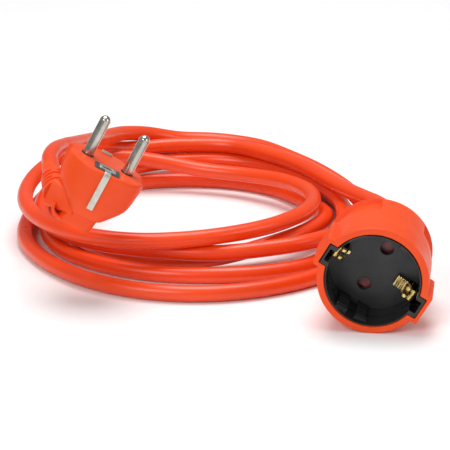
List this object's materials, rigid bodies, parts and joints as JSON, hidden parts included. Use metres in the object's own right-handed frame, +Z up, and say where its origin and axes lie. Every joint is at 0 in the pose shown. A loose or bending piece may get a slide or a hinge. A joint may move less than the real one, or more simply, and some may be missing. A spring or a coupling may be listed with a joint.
{
  "type": "extension cord",
  "caption": "Earthed mains extension cord: an angled two-pin plug, a loose coil of round cable and a round coupler with a deep recessed socket and sprung earth clips.",
  "frame": {"origin": "on the ground under the middle of the coupler's side, half-way along the coupler", "axes": "+Y from the coupler's open face to its boot and cable, +Z up, +X to the right when the open face is seen from the front"},
  "size_m": [0.2, 0.209, 0.0811],
  "materials": {
    "contact_carrier": "satin",
    "contact_live": "bright pressed strip",
    "contact_neutral": "bright pressed strip",
    "cord_coil": "smooth, slightly glossy PVC",
    "cord_coupler_lead": "smooth, slightly glossy PVC",
    "cord_plug_lead": "smooth, slightly glossy PVC",
    "coupler_core_earth": "smooth, green and yellow",
    "coupler_core_live": "smooth",
    "coupler_core_neutral": "smooth",
    "coupler_housing": "fine matt grain",
    "coupler_strain_relief": "fine matt grain",
    "crimp_earth": "bright pressed strip",
    "crimp_live": "bright pressed strip",
    "crimp_neutral": "bright pressed strip",
    "earth_bridge": "bright pressed strip",
    "earth_clip_left": "bright pressed strip",
    "earth_clip_right": "bright pressed strip",
    "earth_strip_far": "nickel plate",
    "earth_strip_near": "nickel plate",
    "pin_collar_left": "satin",
    "pin_collar_right": "satin",
    "plug_body": "fine matt grain",
    "plug_core": "satin",
    "plug_core_earth": "smooth, green and yellow",
    "plug_core_live": "smooth",
    "plug_core_neutral": "smooth",
    "plug_earth_socket": "nickel plate",
    "plug_pin_left": "nickel plate",
    "plug_pin_right": "nickel plate",
    "plug_strain_relief": "fine matt grain",
    "shutter": "satin",
    "shutter_pivot": "bright wire",
    "shutter_spring": "bright wire",
    "socket_insert": "glossy"
  },
  "bodies": {
    "cord_set": {"contact_carrier": "contact_carrier", "contact_live": "contact_live", "contact_neutral": "contact_neutral", "cord_coil": "cord_coil", "cord_coupler_lead": "cord_coupler_lead", "cord_plug_lead": "cord_plug_lead", "coupler_core_earth": "coupler_core_earth", "coupler_core_live": "coupler_core_live", "coupler_core_neutral": "coupler_core_neutral", "coupler_housing": "coupler_housing", "coupler_strain_relief": "coupler_strain_relief", "crimp_earth": "crimp_earth", "crimp_live": "crimp_live", "crimp_neutral": "crimp_neutral", "earth_bridge": "earth_bridge", "earth_strip_far": "earth_strip_far", "earth_strip_near": "earth_strip_near", "pin_collar_left": "pin_collar_left", "pin_collar_right": "pin_collar_right", "plug_body": "plug_body", "plug_core": "plug_core", "plug_core_earth": "plug_core_earth", "plug_core_live": "plug_core_live", "plug_core_neutral": "plug_core_neutral", "plug_earth_socket": "plug_earth_socket", "plug_pin_left": "plug_pin_left", "plug_pin_right": "plug_pin_right", "plug_strain_relief": "plug_strain_relief", "shutter_pivot": "shutter_pivot", "shutter_spring": "shutter_spring", "socket_insert": "socket_insert"},
    "pin_shutter": {"shutter": "shutter"},
    "clip_right": {"earth_clip_right": "earth_clip_right"},
    "clip_left": {"earth_clip_left": "earth_clip_left"}
  },
  "joints": [
    {"name": "shutter_turn", "type": "hinge", "parent": "cord_set", "child": "pin_shutter", "pos_m": [0, -0.0201, 0.02365], "axis": [0, 1, 0], "range_deg": [0, 40], "stiffness_Nm_per_rad": 0.005},
    {"name": "clip_right_flex", "type": "hinge", "parent": "cord_set", "child": "clip_right", "pos_m": [0.01576, -0.0217, 0.01455], "axis": [0.5, 0, 0.866], "range_deg": [0, 4], "stiffness_Nm_per_rad": 0.2},
    {"name": "clip_left_flex", "type": "hinge", "parent": "cord_set", "child": "clip_left", "pos_m": [-0.01576, -0.0217, 0.03275], "axis": [-0.5, 0, -0.866], "range_deg": [0, 4], "stiffness_Nm_per_rad": 0.2}
  ]
}
